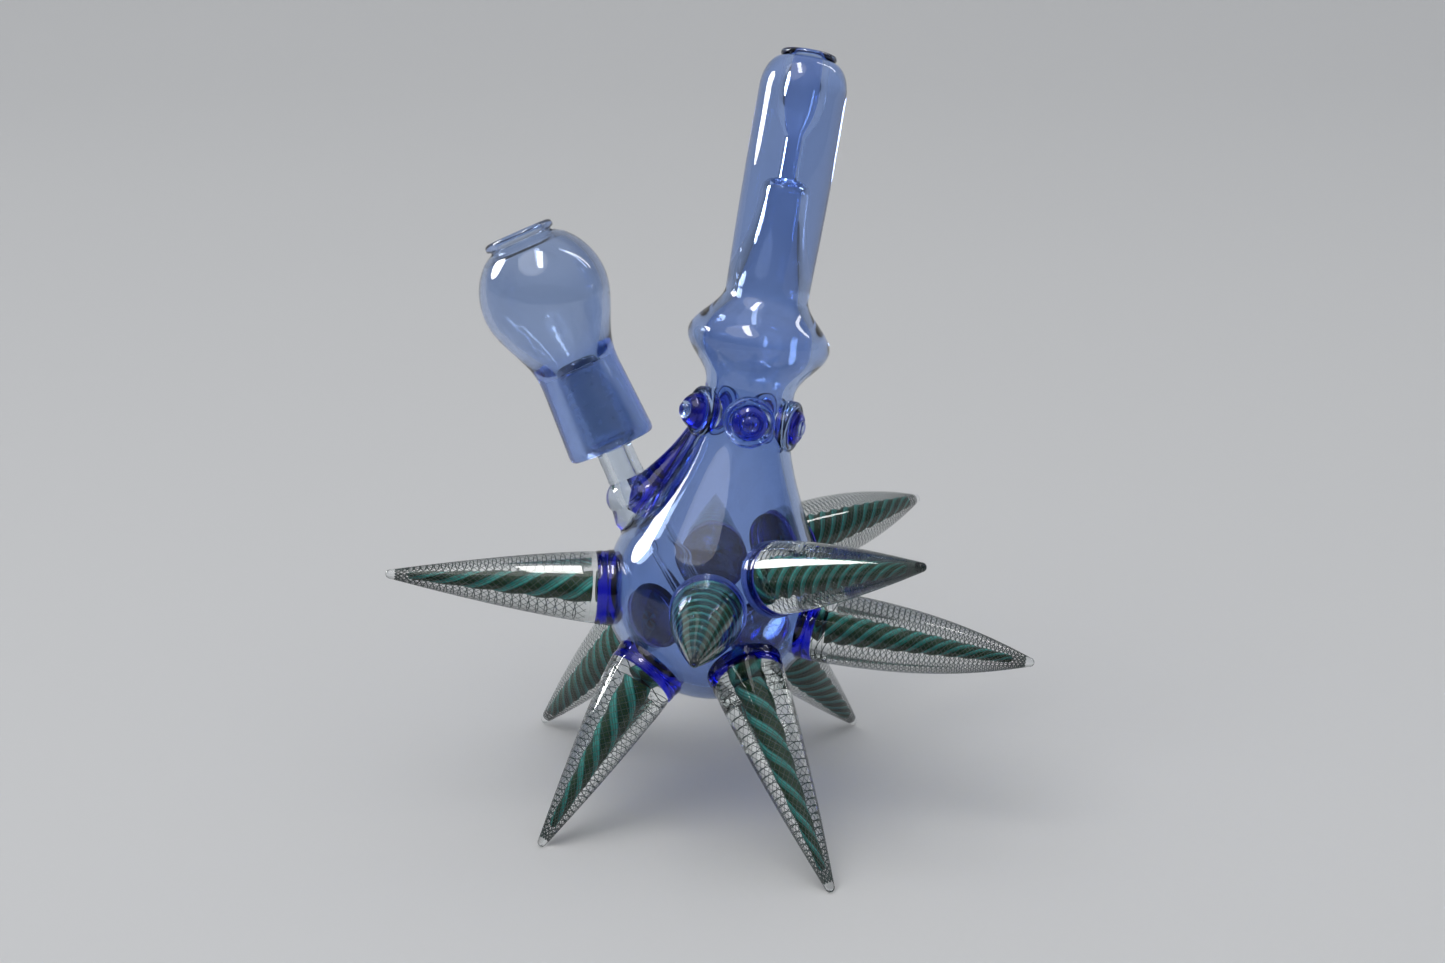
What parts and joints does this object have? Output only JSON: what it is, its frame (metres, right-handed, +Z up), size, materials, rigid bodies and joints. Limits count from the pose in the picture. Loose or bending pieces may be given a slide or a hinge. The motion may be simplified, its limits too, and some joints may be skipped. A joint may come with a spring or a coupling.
{
  "type": "glass water pipe",
  "caption": "Blown blue glass water pipe standing on twisted-cane glass spikes, with a leaning neck, eye marbles and a lift-off dome on a ground joint.",
  "frame": {"origin": "on the table, under the centre of the ball", "axes": "+Z up; the neck leans towards +X and +Y, and the joint with its dome stands on the -X side"},
  "size_m": [0.1663, 0.169, 0.1945],
  "materials": {
    "blue_glass": "transparent cornflower borosilicate, fire polished",
    "cobalt_glass": "deep cobalt borosilicate, fire polished",
    "marble_glass": "blue glass under a clear lens",
    "clear_glass": "clear borosilicate, fire polished",
    "ground_glass": "ground, frosted",
    "teal_cane": "dark green cane with teal and amber threads twisted along it"
  },
  "bodies": {
    "vessel": {"vessel_body": "blue_glass", "neck": "blue_glass", "neck_swell": "blue_glass", "mouthpiece_lower": "blue_glass", "mouthpiece_bend": "blue_glass", "mouthpiece_upper": "blue_glass", "mouthpiece_lip": "blue_glass", "marble_disc_1": "cobalt_glass", "marble_disc_2": "cobalt_glass", "marble_disc_3": "cobalt_glass", "marble_disc_4": "cobalt_glass", "marble_disc_5": "cobalt_glass", "marble_eye_1": "marble_glass", "marble_eye_2": "marble_glass", "marble_eye_3": "marble_glass", "marble_eye_4": "marble_glass", "marble_eye_5": "marble_glass", "foot_front_left_collar": "cobalt_glass", "foot_front_right_collar": "cobalt_glass", "foot_back_left_collar": "cobalt_glass", "foot_back_right_collar": "cobalt_glass", "spike_left_collar": "cobalt_glass", "spike_right_collar": "cobalt_glass", "spike_upper_back_collar": "cobalt_glass", "spike_upper_right_collar": "cobalt_glass", "spike_front_collar": "cobalt_glass", "spike_back_collar": "cobalt_glass", "foot_front_left_casing": "clear_glass", "foot_front_right_casing": "clear_glass", "foot_back_left_casing": "clear_glass", "foot_back_right_casing": "clear_glass", "spike_left_casing": "clear_glass", "spike_right_casing": "clear_glass", "spike_upper_back_casing": "clear_glass", "spike_upper_right_casing": "clear_glass", "spike_front_casing": "clear_glass", "spike_back_casing": "clear_glass", "foot_front_left_cane": "teal_cane", "foot_front_right_cane": "teal_cane", "foot_back_left_cane": "teal_cane", "foot_back_right_cane": "teal_cane", "spike_left_cane": "teal_cane", "spike_right_cane": "teal_cane", "spike_upper_back_cane": "teal_cane", "spike_upper_right_cane": "teal_cane", "spike_front_cane": "teal_cane", "spike_back_cane": "teal_cane", "joint_weld": "cobalt_glass", "joint_bulb": "clear_glass", "joint_stem": "clear_glass", "ground_joint": "ground_glass", "downstem": "clear_glass"},
    "dome": {"dome_sleeve": "blue_glass", "dome_bulb": "blue_glass", "dome_flange": "blue_glass"}
  },
  "joints": [
    {"name": "dome_lift", "type": "slide", "parent": "vessel", "child": "dome", "axis": [-0.4049, 0.1984, 0.8926], "range_m": [0, 0.045]}
  ]
}
